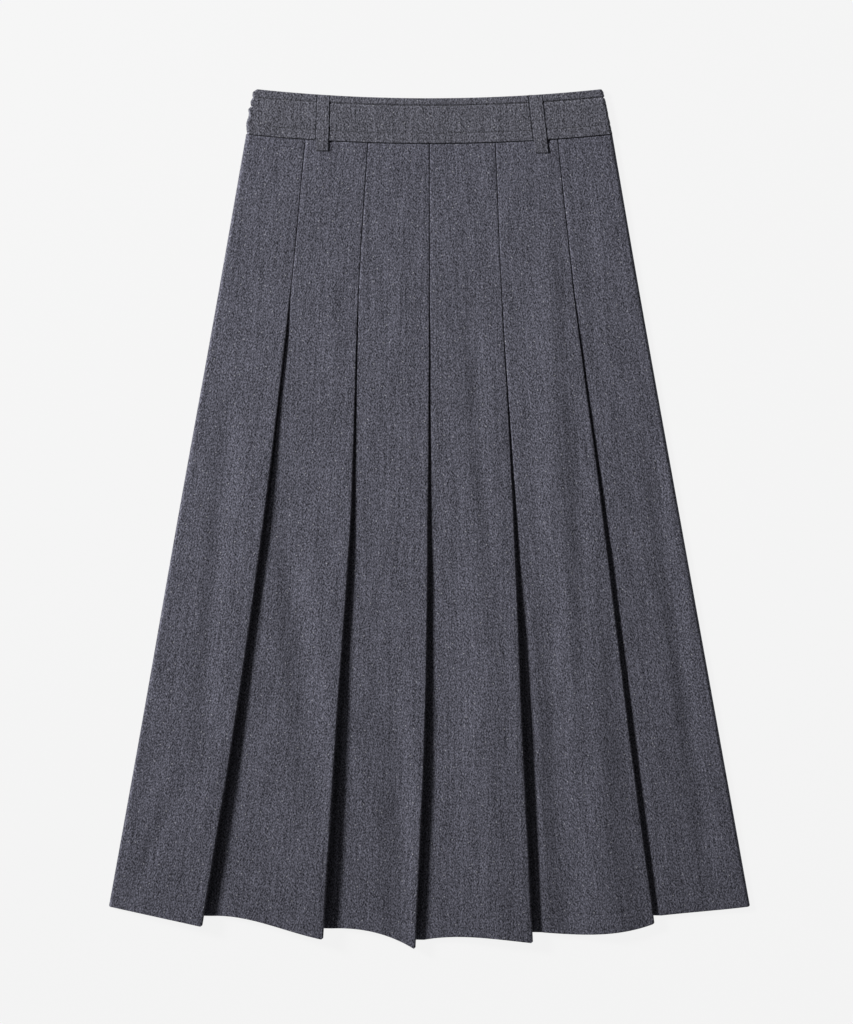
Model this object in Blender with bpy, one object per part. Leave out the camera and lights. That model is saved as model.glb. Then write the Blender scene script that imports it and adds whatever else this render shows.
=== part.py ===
"""Pleated midi skirt of wool flannel, laid flat on a table with its front up.

The waist is towards +Y, the front faces +Z and the table is the plane z = 0. Five one-way knife pleats in
the front and five in the back are sewn down below the waist and open towards the hem, where the front ones
lift into rolls. Sizes below are millimetres; the meshes are made in metres.
"""

from collections import namedtuple

import bmesh
import bpy
import numpy as np

MM = 0.001

# Cloth and the air that folded layers and sewn pieces keep between them
CLOTH = 1.0
GAP = 0.3
PITCH = CLOTH + GAP

# Waist seam and top edge of the band: each is lowest at the centre and rises to the sides as a parabola
SEAM_Y = 367.0
TOP_EDGE_Y = 411.4
SIDE_RISE = 9.0
HALF_SEAM = 179.0
HALF_TOP_EDGE = 170.0

# Heights of the middle of each layer. The front pleats lie between the ridges of the back pleats.
BACK_STACK = 3 * CLOTH + 2 * GAP
FRONT_LOW = 2.0
FRONT_MID = FRONT_LOW + PITCH
FRONT_TOP = FRONT_LOW + 2 * PITCH
BACK_FOLD_SHIFT = 10.0

# Pleats: cloth hidden under each fold, and how soon the next panel comes up beside it
UNDERLAY_AT_SEAM = 24.0
UNDERLAY_AT_HEM = 38.0
RISE_START = 0.5
RISE_AT_SEAM = 4.5
RISE_AT_HEM = 7.5
BACK_RISE_START = 1.5
BACK_RISE = 7.0
ROLL_PER_LIFT = 0.3
RAMP_FROM = 0.35
SWELL_MIDDLE = 0.6
SWELL_HALF = 0.38
CORNER = 1.2

# Side edges: the front turns down onto the edge of the back
SHOULDER = 3.5
SIDE_END_Z = CLOTH + GAP

# Levels down the skirt where the tables give a value. Release is where the sewn part of the pleats ends.
LEVELS = np.array([372.0, 220.0, 0.0, -200.0, -420.0])
Line = namedtuple("Line", "seam release middle low hem")
LEFT_SIDE = Line(-180.0, -206.6, -246.2, -281.3, -320.9)
RIGHT_SIDE = Line(180.4, 206.6, 246.1, 282.2, 321.8)
FOLDS = [
    Line(-121.0, -135.7, -162.2, -190.7, -226.1),
    Line(-59.5, -69.0, -76.9, -90.5, -105.3),
    Line(0.5, 0.6, -1.2, -4.4, -14.6),
    Line(64.9, 71.4, 82.8, 91.6, 101.7),
    Line(126.0, 142.5, 170.4, 194.9, 223.1),
]

# Lift of each front fold over its pressed height, and the swell of the panel before it
Lift = namedtuple("Lift", "middle low hem swell")
SWELL_GROWTH = (0, 0, 0.4, 0.9, 1)
LIFTS = [
    Lift(5.0, 9.5, 11.0, 0.0),
    Lift(5.0, 9.5, 12.5, 0.0),
    Lift(3.4, 7.0, 11.0, 0.0),
    Lift(2.0, 5.5, 8.0, 1.0),
    Lift(4.0, 4.5, 4.0, 5.0),
]

# Hem of each front panel, from where it comes out to its fold, and of the hidden inner fold after it
Hem = namedtuple("Hem", "start third two_thirds fold inner")
HEMS = [
    Hem(-381.5, -387.8, -394.0, -400.3, -385.0),
    Hem(-390.0, -393.6, -403.2, -412.8, -397.0),
    Hem(-402.3, -403.4, -409.6, -422.0, -401.0),
    Hem(-413.4, -410.6, -412.6, -416.4, -404.0),
    Hem(-406.0, -408.2, -406.6, -398.0, -389.5),
    Hem(-389.6, -386.8, -384.2, -381.2, -381.2),
]
BACK_HEM_CENTRE = -401.0
BACK_HEM_RISE = 29.0
HALF_HEM = 311.0

# Rows of points from seam to hem, as shares of the way down
FRONT_ROWS = np.array([0, 0.1, 0.19, 0.24, 0.3, 0.37, 0.45, 0.53, 0.61, 0.69, 0.77, 0.85, 0.92, 0.97, 1])
BACK_ROWS = np.array([0, 0.1, 0.19, 0.3, 0.42, 0.54, 0.66, 0.78, 0.9, 1])

# Waistband
BAND_WALL = 2.2
BACK_BAND_Z = 2.6
FRONT_BAND_Z = BACK_BAND_Z + BAND_WALL + GAP
BAND_END_Z = 1.5
BAND_SHOULDER = 1.8
BACK_BAND_INSET = 3.7
BandEnd = namedtuple("BandEnd", "share left right")
BAND_ENDS = [
    BandEnd(0.0, -178.4, 179.8),
    BandEnd(0.13, -179.0, 178.7),
    BandEnd(0.21, -179.3, 177.9),
    BandEnd(0.45, -176.7, 175.8),
    BandEnd(0.54, -177.3, 175.0),
    BandEnd(0.63, -174.6, 174.2),
    BandEnd(0.7, -175.2, 173.5),
    BandEnd(0.8, -173.5, 172.5),
    BandEnd(0.92, -173.0, 171.2),
    BandEnd(1.0, -169.5, 169.5),
]

# Belt loops: straps sewn on at the top edge, folded under at the lower end
STRAP = 1.5
Loop = namedtuple("Loop", "name x_top x_bottom width y_bottom")
FRONT_LOOPS = [
    Loop("belt_loop_front_left", -103.4, -103.4, 12.2, 359.9),
    Loop("belt_loop_front_right", 104.3, 110.5, 13.0, 357.9),
]
BACK_LOOPS = {"belt_loop_back_left": -104.0, "belt_loop_back_right": 104.0}
BACK_LOOP_WIDTH = 12.4
BACK_STRAP = BAND_END_Z - GAP
LOOP_INSET = 0.4
LOOP_TACK_Y = 379.3
LOOP_TACK = 1.5
LOOP_BOW = 1.0
LOOP_RISE_FROM = 0.6
STEP_START = 0.7
STEP_END = 4.0

# Concealed zip in the side seam on the -X side
ZIP_INSET = 4.6
ZIP_WIDTH = 14.0
ZIP_LENGTH = 200.0
ZIP_TAPE = 1.2
ZIP_COIL_HALF = 2.0
ZIP_COIL_FOOT = 1.0
ZIP_COIL_RAISE = 0.9
ZIP_ROWS = 6

# Colours, sRGB, and how rough each finish is
FLANNEL_GREY = (0.322, 0.322, 0.361)
BAND_GREY = (0.345, 0.345, 0.376)
ZIP_GREY = (0.2, 0.2, 0.22)
FLANNEL_ROUGH = 0.95
ZIP_ROUGH = 0.6

# Shares and angles at which sections are sampled
THIRDS = np.array([0, 1 / 3, 2 / 3, 1])
SHOULDER_ANGLES = np.radians([0, 30, 60])
TURN_ANGLES = np.radians([90, 30, -30])
LOOP_BEND_ANGLES = np.radians([45, 0, -45])
SHARP_EDGE = np.radians(40)


def along(values, y):
    """A smooth curve through one value at each level: cubics whose slopes are the means of two chords."""
    values = np.asarray(values, float)
    chord = np.diff(values) / np.diff(LEVELS)
    slope = np.concatenate([chord[:1], (chord[:-1] + chord[1:]) / 2, chord[-1:]])
    at = np.clip(np.searchsorted(-LEVELS, -y) - 1, 0, len(LEVELS) - 2)
    step = LEVELS[at + 1] - LEVELS[at]
    t = (y - LEVELS[at]) / step
    return (
        (2 * t**3 - 3 * t**2 + 1) * values[at]
        + (t**3 - 2 * t**2 + t) * step * slope[at]
        + (3 * t**2 - 2 * t**3) * values[at + 1]
        + (t**3 - t**2) * step * slope[at + 1]
    )


def ease(t):
    """From 0 to 1 with no slope at either end: t squared times (3 - 2t)."""
    t = np.clip(t, 0, 1)
    return t * t * (3 - 2 * t)


def between(t, first, last):
    return first + (last - first) * t


def share_down(y):
    """0 at the waist seam and 1 at the hem."""
    return np.clip((LEVELS[0] - y) / (LEVELS[0] - LEVELS[-1]), 0, 1)


def underlay(y):
    return between(share_down(y), UNDERLAY_AT_SEAM, UNDERLAY_AT_HEM)


def waist_seam(x):
    return SEAM_Y + SIDE_RISE * (x / HALF_SEAM) ** 2


def top_edge(x):
    return TOP_EDGE_Y + SIDE_RISE * (x / HALF_TOP_EDGE) ** 2


class Pleating:
    """The section of one half of the skirt across its pleats, seen from its own outer side.

    It is made of stretches. Each is a pair: the hem under each of its points, and a function of y that gives
    x and z. Every panel comes out from under the fold before it, rises to the outer layer, folds under, runs
    back and turns again.
    """

    def __init__(self, sides, folds, levels, lifts, hems, rise, counts):
        self.sides = sides
        self.folds = folds
        self.low, self.mid, self.top = levels
        self.lifts = lifts
        self.hems = hems
        self.rise = rise
        self.counts = counts

    def lift(self, k, y):
        row = self.lifts[k]
        return np.maximum(along((0, 0, row.middle, row.low, row.hem), y), 0)

    def roll(self, k, y):
        """The radius of the fold's middle line: half a pitch where pressed, and more as the fold lifts."""
        return PITCH / 2 + ROLL_PER_LIFT * self.lift(k, y)

    def roll_centre(self, k, y):
        return along(self.folds[k], y) - CLOTH / 2 - self.roll(k, y)

    def turn_centre(self, k, y):
        return along(self.folds[k], y) - underlay(y) + PITCH

    def panel_start(self, k, y):
        if k == 0:
            return along(self.sides[0], y) + self.counts["shoulder"]
        start, width = self.rise(y)
        return along(self.folds[k - 1], y) + start + width

    def panel_end(self, k, y):
        if k == len(self.folds):
            return along(self.sides[1], y) - self.counts["shoulder"]
        return self.roll_centre(k, y)

    def outer_layer(self, k, t, y):
        """The visible panel: flat, then eased up to its fold, with a swell shaped as a cosine before it."""
        x = between(t, self.panel_start(k, y), self.panel_end(k, y))
        z = np.full_like(x, self.top)
        if k < len(self.folds):
            z = z + self.lift(k, y) * ease((t - RAMP_FROM) / (1 - RAMP_FROM))
            near = np.clip((t - SWELL_MIDDLE) / SWELL_HALF, -1, 1)
            grown = np.maximum(along(SWELL_GROWTH, y), 0)
            z = z + self.lifts[k].swell * grown * (1 + np.cos(np.pi * near)) / 2
        return x, z

    def fold(self, k, angle, y):
        radius = self.roll(k, y)
        centre_z = self.top + self.lift(k, y) - radius
        return self.roll_centre(k, y) + radius * np.cos(angle), centre_z + radius * np.sin(angle)

    def under_layer(self, k, t, y):
        lowest = self.top + self.lift(k, y) - 2 * self.roll(k, y)
        x = between(t, self.roll_centre(k, y), self.turn_centre(k, y))
        return x, between(ease(t), lowest, self.mid)

    def turn(self, k, angle, y):
        radius = PITCH / 2
        x = self.turn_centre(k, y) - radius * np.cos(angle)
        return x, (self.low + self.mid) / 2 + radius * np.sin(angle)

    def low_layer(self, k, t, y):
        x = between(t, self.turn_centre(k, y), along(self.folds[k], y) + self.rise(y)[0])
        return x, np.full_like(x, self.low)

    def coming_up(self, k, t, y):
        start, width = self.rise(y)
        return along(self.folds[k], y) + start + t * width, between(ease(t), self.low, self.top) + 0 * y

    def shoulder(self, side, angle, y):
        """A quarter ellipse from the side edge up to the panel."""
        reach = self.counts["shoulder"] - CLOTH / 2
        inward = 1 if side == 0 else -1
        edge = along(self.sides[side], y) + inward * CLOTH / 2
        x = edge + inward * reach * (1 - np.cos(angle))
        return x, SIDE_END_Z + (self.top - SIDE_END_Z) * np.sin(angle) + 0 * y

    def stretches(self):
        last = len(self.folds)
        made = []

        def add(share, hem, shape, k):
            share = np.asarray(share, float)
            made.append((hem + 0 * share, lambda y: shape(k, share, y)))

        for k in range(last + 1):
            hem = self.hems[k]
            if k == 0 and self.counts["shoulder"]:
                add(SHOULDER_ANGLES, hem.start, self.shoulder, 0)
            if k > 0:
                share = np.linspace(0, 1, self.counts["low"], endpoint=False)
                add(share, between(share, self.hems[k - 1].inner, hem.start), self.low_layer, k - 1)
                add(THIRDS[:-1], hem.start, self.coming_up, k - 1)
            share = np.linspace(0, 1, self.counts["panel"], endpoint=k == last)
            line = np.interp(share, THIRDS, [hem.start, hem.third, hem.two_thirds, hem.fold])
            add(share, line, self.outer_layer, k)
            if k == last:
                break
            angle = np.linspace(np.pi / 2, -np.pi / 2, self.counts["fold"], endpoint=False)
            add(angle, hem.fold + CORNER * np.cos(angle), self.fold, k)
            share = np.linspace(0, 1, self.counts["under"], endpoint=False)
            add(share, between(share, hem.fold, hem.inner), self.under_layer, k)
            add(TURN_ANGLES, hem.inner, self.turn, k)
        if self.counts["shoulder"]:
            add(SHOULDER_ANGLES[::-1], self.hems[last].fold, self.shoulder, 1)
        return made


def hang(stretches, rows):
    """The middle surface of a pleated half: every point goes from the waist seam to its own hem."""
    columns = []
    for hem, shape in stretches:
        x_top, _ = shape(np.full((1, len(hem)), LEVELS[0]))
        top = waist_seam(x_top) - GAP / 2
        y = top + (hem - top) * rows[:, None]
        x, z = shape(y)
        columns.append(np.stack([x, y, z + 0 * y], axis=2))
    return np.concatenate(columns, axis=1)


def wall(points, across, thickness):
    """Both faces of a wall about its middle surface.

    A point moves half the thickness along the mitre of the two segments of its row that meet there, square
    to across.
    """
    across = np.array(across, float)
    run = np.diff(points, axis=1)
    run = run - (run @ across)[..., None] * across
    run = run / np.linalg.norm(run, axis=2, keepdims=True)
    square = np.cross(across, run)
    before = np.concatenate([square[:, :1], square], axis=1)
    after = np.concatenate([square, square[:, -1:]], axis=1)
    mitre = (before + after) / (1 + (before * after).sum(axis=2, keepdims=True))
    return points + mitre * thickness / 2, points - mitre * thickness / 2


def principled(name, srgb, rough):
    material = bpy.data.materials.new(name)
    material.use_nodes = True
    shader = material.node_tree.nodes["Principled BSDF"]
    linear = [(c / 12.92 if c <= 0.04045 else ((c + 0.055) / 1.055) ** 2.4) for c in srgb]
    shader.inputs["Base Color"].default_value = (*linear, 1)
    shader.inputs["Roughness"].default_value = rough
    shader.inputs["Metallic"].default_value = 0
    return material


def solid(name, faces_of_wall, srgb, rough):
    """One closed body from the two faces of a wall and the rim between them."""
    outer, inner = faces_of_wall
    rows, columns = outer.shape[:2]
    count = rows * columns
    index = np.arange(count).reshape(rows, columns)
    corners = [index[:-1, :-1], index[:-1, 1:], index[1:, 1:], index[1:, :-1]]
    quads = np.stack(corners, axis=2).reshape(-1, 4)
    edge = np.concatenate([index[0, :-1], index[:-1, -1], index[-1, :0:-1], index[:0:-1, 0]])
    onward = np.roll(edge, -1)
    rim = np.stack([onward, edge, edge + count, onward + count], axis=1)
    faces = np.concatenate([quads, quads[:, ::-1] + count, rim])
    points = np.concatenate([outer.reshape(-1, 3), inner.reshape(-1, 3)]) * MM
    mesh = bpy.data.meshes.new(name)
    mesh.from_pydata(points.tolist(), [], faces.tolist())
    turned = bmesh.new()
    turned.from_mesh(mesh)
    bmesh.ops.recalc_face_normals(turned, faces=turned.faces)
    turned.to_mesh(mesh)
    turned.free()
    mesh.shade_smooth()
    mesh.set_sharp_from_angle(angle=SHARP_EDGE)
    made = bpy.data.objects.new(name, mesh)
    made.data.materials.append(principled(name, srgb, rough))
    bpy.context.scene.collection.objects.link(made)
    return made


def skirt_front():
    """The front half: panels over five pleats, sewn down to the release and lifting below it."""

    def rise(y):
        return RISE_START, between(share_down(y), RISE_AT_SEAM, RISE_AT_HEM)

    counts = {"shoulder": SHOULDER, "low": 2, "panel": 7, "fold": 5, "under": 3}
    levels = (FRONT_LOW, FRONT_MID, FRONT_TOP)
    section = Pleating((LEFT_SIDE, RIGHT_SIDE), FOLDS, levels, LIFTS, HEMS, rise, counts)
    middle = hang(section.stretches(), FRONT_ROWS)
    solid("skirt_front", wall(middle, (0, -1, 0), CLOTH), FLANNEL_GREY, FLANNEL_ROUGH)


def skirt_back():
    """The back half: the same pleats pressed flat, turned over so that its outer side lies on the table."""

    def rise(_):
        return BACK_RISE_START, BACK_RISE

    def turned(line, shift=0.0):
        return Line(*(-(value + shift) for value in line))

    folds = [turned(line, BACK_FOLD_SHIFT) for line in reversed(FOLDS)]
    pressed = [Lift(0, 0, 0, 0)] * len(folds)
    plain = [Hem(0, 0, 0, 0, 0)] * (len(folds) + 1)
    counts = {"shoulder": 0, "low": 2, "panel": 3, "fold": 3, "under": 1}
    levels = (CLOTH / 2, CLOTH / 2 + PITCH, CLOTH / 2 + 2 * PITCH)
    section = Pleating((turned(RIGHT_SIDE), turned(LEFT_SIDE)), folds, levels, pressed, plain, rise, counts)
    stretches = []
    for hem, shape in section.stretches():
        x_low, _ = shape(np.full((1, len(hem)), BACK_HEM_CENTRE))
        lowest = BACK_HEM_CENTRE + BACK_HEM_RISE * (x_low[0] / HALF_HEM) ** 2
        stretches.append((lowest, shape))
    middle = hang(stretches, BACK_ROWS)
    middle[..., 0] *= -1
    middle[..., 2] = BACK_STACK - middle[..., 2]
    solid("skirt_back", wall(middle, (0, 1, 0), CLOTH), FLANNEL_GREY, FLANNEL_ROUGH)


def band_surface(inset, turn_down):
    """The middle surface of a waistband half: flat, with quarter-ellipse ends where it turns down."""
    share = np.array([row.share for row in BAND_ENDS])[:, None]
    left = np.array([row.left for row in BAND_ENDS])[:, None] + inset
    right = np.array([row.right for row in BAND_ENDS])[:, None] - inset
    angle = SHOULDER_ANGLES if turn_down else np.zeros(0)
    reach = BAND_SHOULDER * (1 - np.cos(angle))
    flat = np.linspace(0, 1, 11)
    start = left + (BAND_SHOULDER if turn_down else 0)
    end = right - (BAND_SHOULDER if turn_down else 0)
    x = np.concatenate([left + reach, between(flat, start, end), (right - reach)[:, ::-1]], axis=1)
    height = FRONT_BAND_Z if turn_down else BACK_BAND_Z
    side = BAND_END_Z + (height - BAND_END_Z) * np.sin(angle)
    z = np.concatenate([side, np.full(len(flat), height), side[::-1]]) + 0 * x
    y = between(share, waist_seam(x) + GAP / 2, top_edge(x))
    return np.stack([x, y, z], axis=2)


def waistband():
    """Two contoured strips. The front one turns down at the sides over the ends of the back one."""
    front = band_surface(BAND_WALL / 2, True)
    solid("waistband_front", wall(front, (0, -1, 0), BAND_WALL), BAND_GREY, FLANNEL_ROUGH)
    back = band_surface(BACK_BAND_INSET, False)
    solid("waistband_back", wall(back, (0, -1, 0), BAND_WALL), BAND_GREY, FLANNEL_ROUGH)


def front_loop(loop):
    """A strap from the top edge of the band to just below the seam, where it turns under itself."""
    band_face = FRONT_BAND_Z + BAND_WALL / 2
    skirt_face = FRONT_TOP + CLOTH / 2
    centre = (loop.x_top + loop.x_bottom) / 2
    seam = waist_seam(centre)
    on_band = GAP + STRAP / 2
    double = STRAP + GAP
    step_start = seam - STEP_START
    step_end = seam - STEP_END
    free = np.linspace(0, 1, 5)
    y_free = between(free, top_edge(centre) - LOOP_INSET, LOOP_TACK_Y + LOOP_TACK)
    climbed = ease((free - LOOP_RISE_FROM) / (1 - LOOP_RISE_FROM))
    rise_free = between(climbed, 0, double) + LOOP_BOW * np.sin(np.pi * free)
    run = [(y, band_face, on_band + rise) for y, rise in zip(y_free, rise_free)]
    run.append((step_start, band_face, on_band + double))
    run.append((step_end, skirt_face, on_band + double))
    bend = loop.y_bottom + STRAP / 2 + double / 2
    run.append((bend, skirt_face, on_band + double))
    for angle in LOOP_BEND_ANGLES:
        away = on_band + double / 2 + double / 2 * np.sin(angle)
        run.append((bend - double / 2 * np.cos(angle), skirt_face, away))
    run.append((bend, skirt_face, on_band))
    run.append((step_end, skirt_face, on_band))
    run.append((step_start, band_face, on_band))
    run.append((LOOP_TACK_Y, band_face, on_band))
    y, face, away = np.array(run).T
    down = (y_free[0] - y) / (y_free[0] - loop.y_bottom)
    middle = between(down, loop.x_top, loop.x_bottom)
    x = middle[None, :] + loop.width / 2 * np.array([[-1.0], [1.0]])
    points = np.stack([x, y + 0 * x, face + away + 0 * x], axis=2)
    solid(loop.name, wall(points, (1, 0, 0), STRAP), BAND_GREY, FLANNEL_ROUGH)


def back_loop(name, x_middle):
    """A strap pressed flat between the table and the back band, from the top edge to the waist seam."""
    y = between(np.linspace(0, 1, 4), top_edge(x_middle) - LOOP_INSET, waist_seam(x_middle) + LOOP_INSET)
    x = x_middle + BACK_LOOP_WIDTH / 2 * np.array([[-1.0], [1.0]]) + 0 * y
    points = np.stack([x, y + 0 * x, BACK_STRAP / 2 + 0 * x], axis=2)
    solid(name, wall(points, (1, 0, 0), BACK_STRAP), BAND_GREY, FLANNEL_ROUGH)


def belt_loops():
    for loop in FRONT_LOOPS:
        front_loop(loop)
    for name, x_middle in BACK_LOOPS.items():
        back_loop(name, x_middle)


def side_zip():
    """A closed concealed zip: two tapes with the coil raised between them, inside the side seam."""
    foot = ZIP_COIL_HALF + ZIP_COIL_FOOT
    from_coil = np.array([-ZIP_WIDTH / 2, -foot, -ZIP_COIL_HALF, ZIP_COIL_HALF, foot, ZIP_WIDTH / 2])
    raised = np.array([0, 0, 1, 1, 0, 0]) * ZIP_COIL_RAISE
    top = waist_seam(LEFT_SIDE.seam + ZIP_INSET + ZIP_WIDTH) - GAP
    y = np.linspace(top, top - ZIP_LENGTH, ZIP_ROWS)[:, None] + 0 * raised
    x = along(LEFT_SIDE, y) + ZIP_INSET + ZIP_WIDTH / 2 + from_coil
    z = CLOTH + GAP + ZIP_TAPE / 2 + raised + 0 * x
    solid("side_zip", wall(np.stack([x, y, z], axis=2), (0, -1, 0), ZIP_TAPE), ZIP_GREY, ZIP_ROUGH)


for old in list(bpy.data.objects):
    bpy.data.objects.remove(old, do_unlink=True)
skirt_front()
skirt_back()
waistband()
belt_loops()
side_zip()
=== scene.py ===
"""Pleated midi skirt of grey melange wool flannel, laid flat on a pale table with its front up.

The waist is towards +Y and the front faces +Z. Sizes are millimetres, as on a cutting table, and a mesh is
made in metres. Each piece of cloth is a closed wall worked out from the same sections as its solid.
"""

from collections import namedtuple

import bpy
import numpy as np
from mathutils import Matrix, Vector


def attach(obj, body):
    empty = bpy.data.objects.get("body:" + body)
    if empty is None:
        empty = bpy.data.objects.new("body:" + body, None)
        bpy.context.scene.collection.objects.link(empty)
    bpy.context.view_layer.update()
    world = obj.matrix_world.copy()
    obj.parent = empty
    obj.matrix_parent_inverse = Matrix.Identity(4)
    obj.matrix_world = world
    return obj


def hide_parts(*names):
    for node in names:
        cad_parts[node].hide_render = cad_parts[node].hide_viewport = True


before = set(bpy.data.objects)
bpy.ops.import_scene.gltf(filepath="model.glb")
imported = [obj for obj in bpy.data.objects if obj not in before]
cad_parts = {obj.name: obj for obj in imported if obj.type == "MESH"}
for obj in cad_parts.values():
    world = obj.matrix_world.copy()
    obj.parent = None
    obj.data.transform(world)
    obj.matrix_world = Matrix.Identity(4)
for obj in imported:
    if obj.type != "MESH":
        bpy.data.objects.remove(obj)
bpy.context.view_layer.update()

# Back half of the skirt
# One flared piece of wool flannel, laid into five knife pleats that are pressed flat and sewn down at the
# top. It lies on the table with its outer side down, and is sewn to the front at the sides.
MM = 0.001
CLOTH = 1.0
GAP = 0.3
PITCH = CLOTH + GAP

SEAM_Y = 367.0
SIDE_RISE = 9.0
HALF_SEAM = 179.0
SEAM_TUCK = 0.4
SEAM_DIP = 1.1
SEAM_DIP_HALF = 1.5
SEAM_ROWS = (0.3, 0.6, 0.9, 1.3, 1.8, 2.5, 3.5)
PANEL_CUT = 180.0

UNDERLAY_AT_SEAM = 24.0
UNDERLAY_AT_HEM = 38.0
SHOULDER = 3.5
SIDE_END_Z = CLOTH + GAP
SHOULDER_ANGLES = np.radians([0, 2, 8, 20, 35, 50, 65, 80])
EDGE_ROUND = CLOTH / 2
EDGE_ROWS = (0.0, 0.05, 0.15, 0.3, 0.5)
THIN_EDGE = 0.12

LEVELS = np.array([372.0, 220.0, 0.0, -200.0, -420.0])
Line = namedtuple("Line", "seam release middle low hem")
LEFT_SIDE = Line(-180.0, -206.6, -246.2, -281.3, -320.9)
RIGHT_SIDE = Line(180.4, 206.6, 246.1, 282.2, 321.8)
FOLDS = [
    Line(-121.0, -135.7, -162.2, -190.7, -226.1),
    Line(-59.5, -69.0, -76.9, -90.5, -105.3),
    Line(0.5, 0.6, -1.2, -4.4, -14.6),
    Line(64.9, 71.4, 82.8, 91.6, 101.7),
    Line(126.0, 142.5, 170.4, 194.9, 223.1),
]
Hem = namedtuple("Hem", "start third two_thirds fold inner")
HEM_CORNER = 1.2
SIDE_CORNER = 1.6

BACK_FOLD_SHIFT = 10.0
BACK_STACK = 3 * CLOTH + 2 * GAP
BACK_RISE_START = 1.5
BACK_RISE = 7.0
BACK_HEM_CENTRE = -401.0
BACK_HEM_RISE = 29.0
HALF_HEM = 311.0

# Wool flannel: fulled and brushed cloth of dark and pale grey fibres spun together, so it is matt, with a
# fine soft speckle that runs a little along the warp and a faint sheen of nap at grazing angles.
# The real speckle is about 0.3 mm; it is drawn four times as coarse, or the render would average it out.
FLANNEL_DARK = "08080f"
FLANNEL_PALE = "9797a8"
BAND_DARK = "0b0b10"
BAND_PALE = "9b9ba9"
NEP_PALE = "d2d2d6"
MELANGE_MEAN = 0.399
MELANGE_POWER = 1.5
LATTICE_TURN = 0.6
NEP_SPACING = 18.0
NEP_RADIUS = 0.75
NEP_CORE = 0.3
NEP_SHOWN = 0.45
NAP_HEIGHT = 0.12
NAP_STRENGTH = 0.5
FLANNEL_FINISH = {
    "Roughness": 0.95,
    "Specular IOR Level": 0.2,
    "Sheen Weight": 0.12,
    "Sheen Roughness": 0.5,
}
Grain = namedtuple("Grain", "across along_warp weight")
SPECKS = Grain(1.2, 1.9, 1.12)
SLUBS = Grain(2.1, 8.0, 0.3)
STREAKS = Grain(2.6, 60.0, 0.22)
CLOUDS = Grain(16.0, 40.0, 0.08)


def linear(colour):
    """The linear RGBA of an sRGB hex colour.

    A value c is c / 12.92 up to 0.04045, and above it ((c + 0.055) / 1.055) to the power 2.4.
    """
    srgb = np.array([int(colour[i : i + 2], 16) for i in (0, 2, 4)]) / 255
    low = srgb / 12.92
    high = ((srgb + 0.055) / 1.055) ** 2.4
    return (*np.where(srgb <= 0.04045, low, high), 1.0)


def add_node(material, kind, inputs=None, **settings):
    """A shader node with its settings. An input is a value, or another node's output to link."""
    tree = material.node_tree
    made = tree.nodes.new("ShaderNode" + kind)
    for name, value in settings.items():
        setattr(made, name, value)
    for name, value in (inputs or {}).items():
        if isinstance(value, bpy.types.NodeSocket):
            tree.links.new(value, made.inputs[name])
        else:
            made.inputs[name].default_value = value
    return made


def plain_material(name, finish):
    """A material and its shader, which has these values all over."""
    material = bpy.data.materials.new(name)
    material.use_nodes = True
    shader = material.node_tree.nodes["Principled BSDF"]
    for socket, value in finish.items():
        shader.inputs[socket].default_value = value
    return material, shader


def shade_between(material, mix, dark, pale):
    """A colour that goes from dark to pale with the mix. A colour's sockets in a Mix node are 6 and 7."""
    shades = {0: mix, 6: dark, 7: pale}
    return add_node(material, "Mix", shades, data_type="RGBA").outputs[2]


def wool_flannel(name, dark, pale):
    """Flannel whose colour runs from dark to pale with a power of the sum of four noises over the cut."""
    material, shader = plain_material(name, FLANNEL_FINISH)
    cut = add_node(material, "UVMap", uv_map="cut").outputs["UV"]
    grains = (CLOUDS, STREAKS, SLUBS, SPECKS)
    mix = MELANGE_MEAN - sum(grain.weight for grain in grains) / 2
    for grain in grains:
        size = (1 / (grain.across * MM), 1 / (grain.along_warp * MM), 1)
        # The turn keeps the square lattice of the noise from lying along the threads
        place = {"Vector": cut, "Scale": size, "Rotation": (0, 0, LATTICE_TURN)}
        place = add_node(material, "Mapping", place).outputs["Vector"]
        shape = {"Vector": place, "Scale": 1.0, "Detail": 1.0, "Roughness": 0.6}
        noise = add_node(material, "TexNoise", shape, noise_dimensions="2D").outputs["Fac"]
        added = {0: noise, 1: grain.weight, 2: mix}
        mix = add_node(material, "Math", added, operation="MULTIPLY_ADD").outputs[0]
    mix = add_node(material, "Clamp", {0: mix}).outputs[0]
    mix = add_node(material, "Math", {0: mix, 1: MELANGE_POWER}, operation="POWER").outputs[0]
    colour = shade_between(material, mix, linear(dark), linear(pale))
    # Neps: a few small knots of pale fibre
    sown = {"Vector": cut, "Scale": 1 / (NEP_SPACING * MM)}
    nep = add_node(material, "TexVoronoi", sown, voronoi_dimensions="2D").outputs["Distance"]
    reach = NEP_RADIUS / NEP_SPACING
    near = {0: nep, 1: reach, 2: reach * NEP_CORE, 3: 0.0, 4: NEP_SHOWN}
    nep = add_node(material, "MapRange", near).outputs[0]
    colour = shade_between(material, nep, colour, linear(NEP_PALE))
    raised = {"Height": noise, "Strength": NAP_STRENGTH, "Distance": NAP_HEIGHT * MM}
    nap = add_node(material, "Bump", raised)
    material.node_tree.links.new(colour, shader.inputs["Base Color"])
    material.node_tree.links.new(nap.outputs["Normal"], shader.inputs["Normal"])
    return material


def along(values, y, levels=LEVELS):
    """A smooth curve through one value at each level: cubics whose slopes are the means of two chords."""
    values = np.asarray(values, float)
    chord = np.diff(values) / np.diff(levels)
    slope = np.concatenate([chord[:1], (chord[:-1] + chord[1:]) / 2, chord[-1:]])
    at = np.clip(np.searchsorted(-levels, -y) - 1, 0, len(levels) - 2)
    step = levels[at + 1] - levels[at]
    t = (y - levels[at]) / step
    return (
        (2 * t**3 - 3 * t**2 + 1) * values[at]
        + (t**3 - 2 * t**2 + t) * step * slope[at]
        + (3 * t**2 - 2 * t**3) * values[at + 1]
        + (t**3 - t**2) * step * slope[at + 1]
    )


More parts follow.
